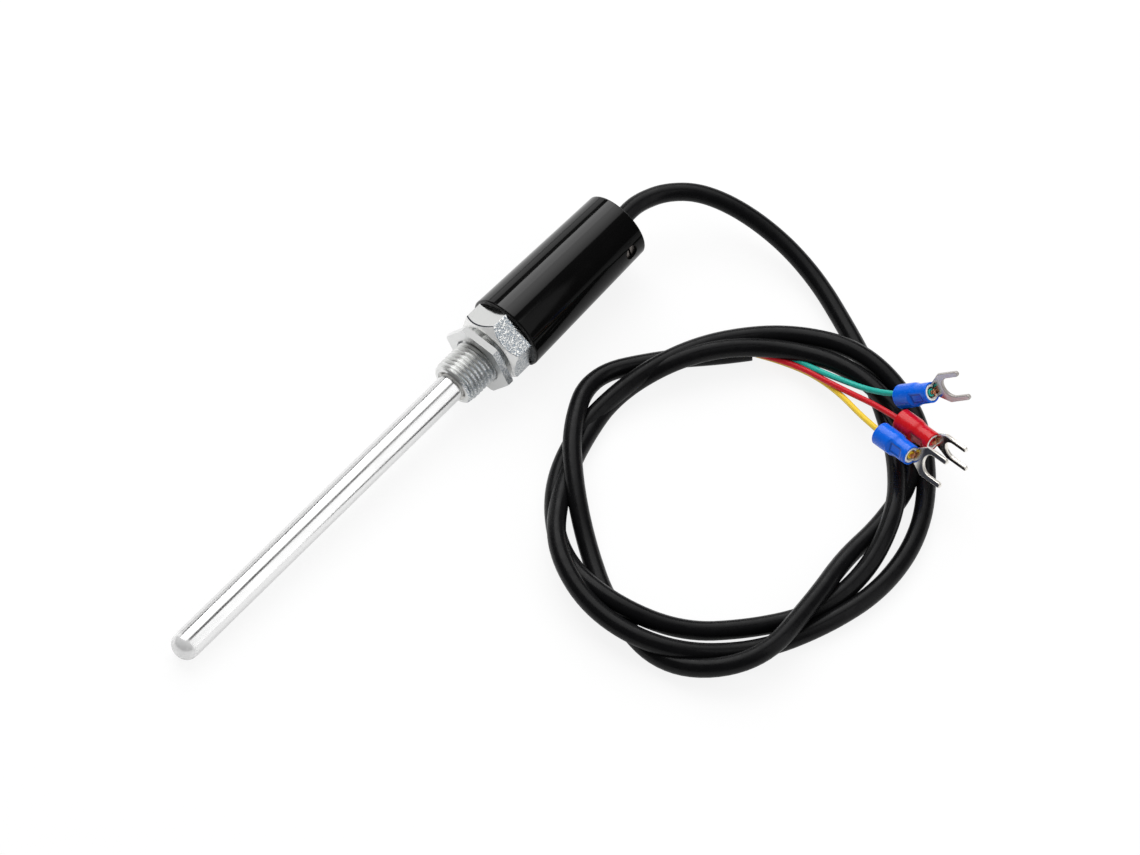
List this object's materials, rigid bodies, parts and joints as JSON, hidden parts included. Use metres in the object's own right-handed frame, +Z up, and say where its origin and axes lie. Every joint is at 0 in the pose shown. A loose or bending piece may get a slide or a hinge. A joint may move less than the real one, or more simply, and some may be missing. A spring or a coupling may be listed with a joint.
{
  "type": "temperature probe",
  "caption": "Threaded stem temperature probe with a lock nut, a black sleeve and a coiled cable whose cores end in insulated fork terminals.",
  "frame": {"origin": "on the surface it lies on, under the middle of the probe without its cable", "axes": "+X along the probe from its tip to the cable's exit, -Y to the side where the coil lies, +Z up; the probe's own axis drops 3.4 degrees toward the tip"},
  "size_m": [0.1548, 0.1028, 0.0231],
  "materials": {
    "stem_steel": "fine ground, bright",
    "plated_fitting": "bright zinc plating, slightly mottled",
    "plated_nut": "bright zinc plating",
    "sealant": "dull black",
    "sleeve_black": "glossy black",
    "screw_steel": "dark oiled steel",
    "ceramic": "matt white ceramic",
    "compound": "matt filled compound",
    "wire_insulation": "white insulation",
    "glass_sleeving": "woven glass fibre",
    "splice_sleeve": "shrunk tubing",
    "cable_jacket": "semi-matt black",
    "core_green": "smooth insulation",
    "core_red": "smooth insulation",
    "core_yellow": "smooth insulation",
    "vinyl_blue": "glossy vinyl",
    "vinyl_red": "glossy vinyl",
    "tinned_copper": "bright tin plating",
    "copper_strands": "bare copper strands"
  },
  "bodies": {
    "probe": {"sheath_tube": "stem_steel", "threaded_fitting": "plated_fitting", "sealant_bead": "sealant", "housing_sleeve": "sleeve_black", "set_screw": "screw_steel", "sensing_element": "ceramic", "tip_compound": "compound", "stem_wire_1": "wire_insulation", "stem_wire_2": "wire_insulation", "stem_wire_3": "wire_insulation", "stem_sleeving": "glass_sleeving", "stem_seal": "sealant", "splice_sleeve_1": "splice_sleeve", "splice_sleeve_2": "splice_sleeve", "splice_sleeve_3": "splice_sleeve", "cable_entry": "cable_jacket", "cable_lead": "cable_jacket", "cable_coil": "cable_jacket", "inner_core_green": "core_green", "inner_core_red": "core_red", "inner_core_yellow": "core_yellow", "lead_green": "core_green", "lead_red": "core_red", "lead_yellow": "core_yellow", "terminal_sleeve_green": "vinyl_blue", "terminal_sleeve_red": "vinyl_red", "terminal_sleeve_yellow": "vinyl_blue", "terminal_fork_green": "tinned_copper", "terminal_fork_red": "tinned_copper", "terminal_fork_yellow": "tinned_copper", "conductor_green": "copper_strands", "conductor_red": "copper_strands", "conductor_yellow": "copper_strands"},
    "nut": {"lock_nut": "plated_nut"}
  },
  "joints": [
    {"name": "nut_travel", "type": "slide", "parent": "probe", "child": "nut", "axis": [-0.9983, 0, -0.0589], "range_m": [-0.00145, 0.0073]}
  ]
}
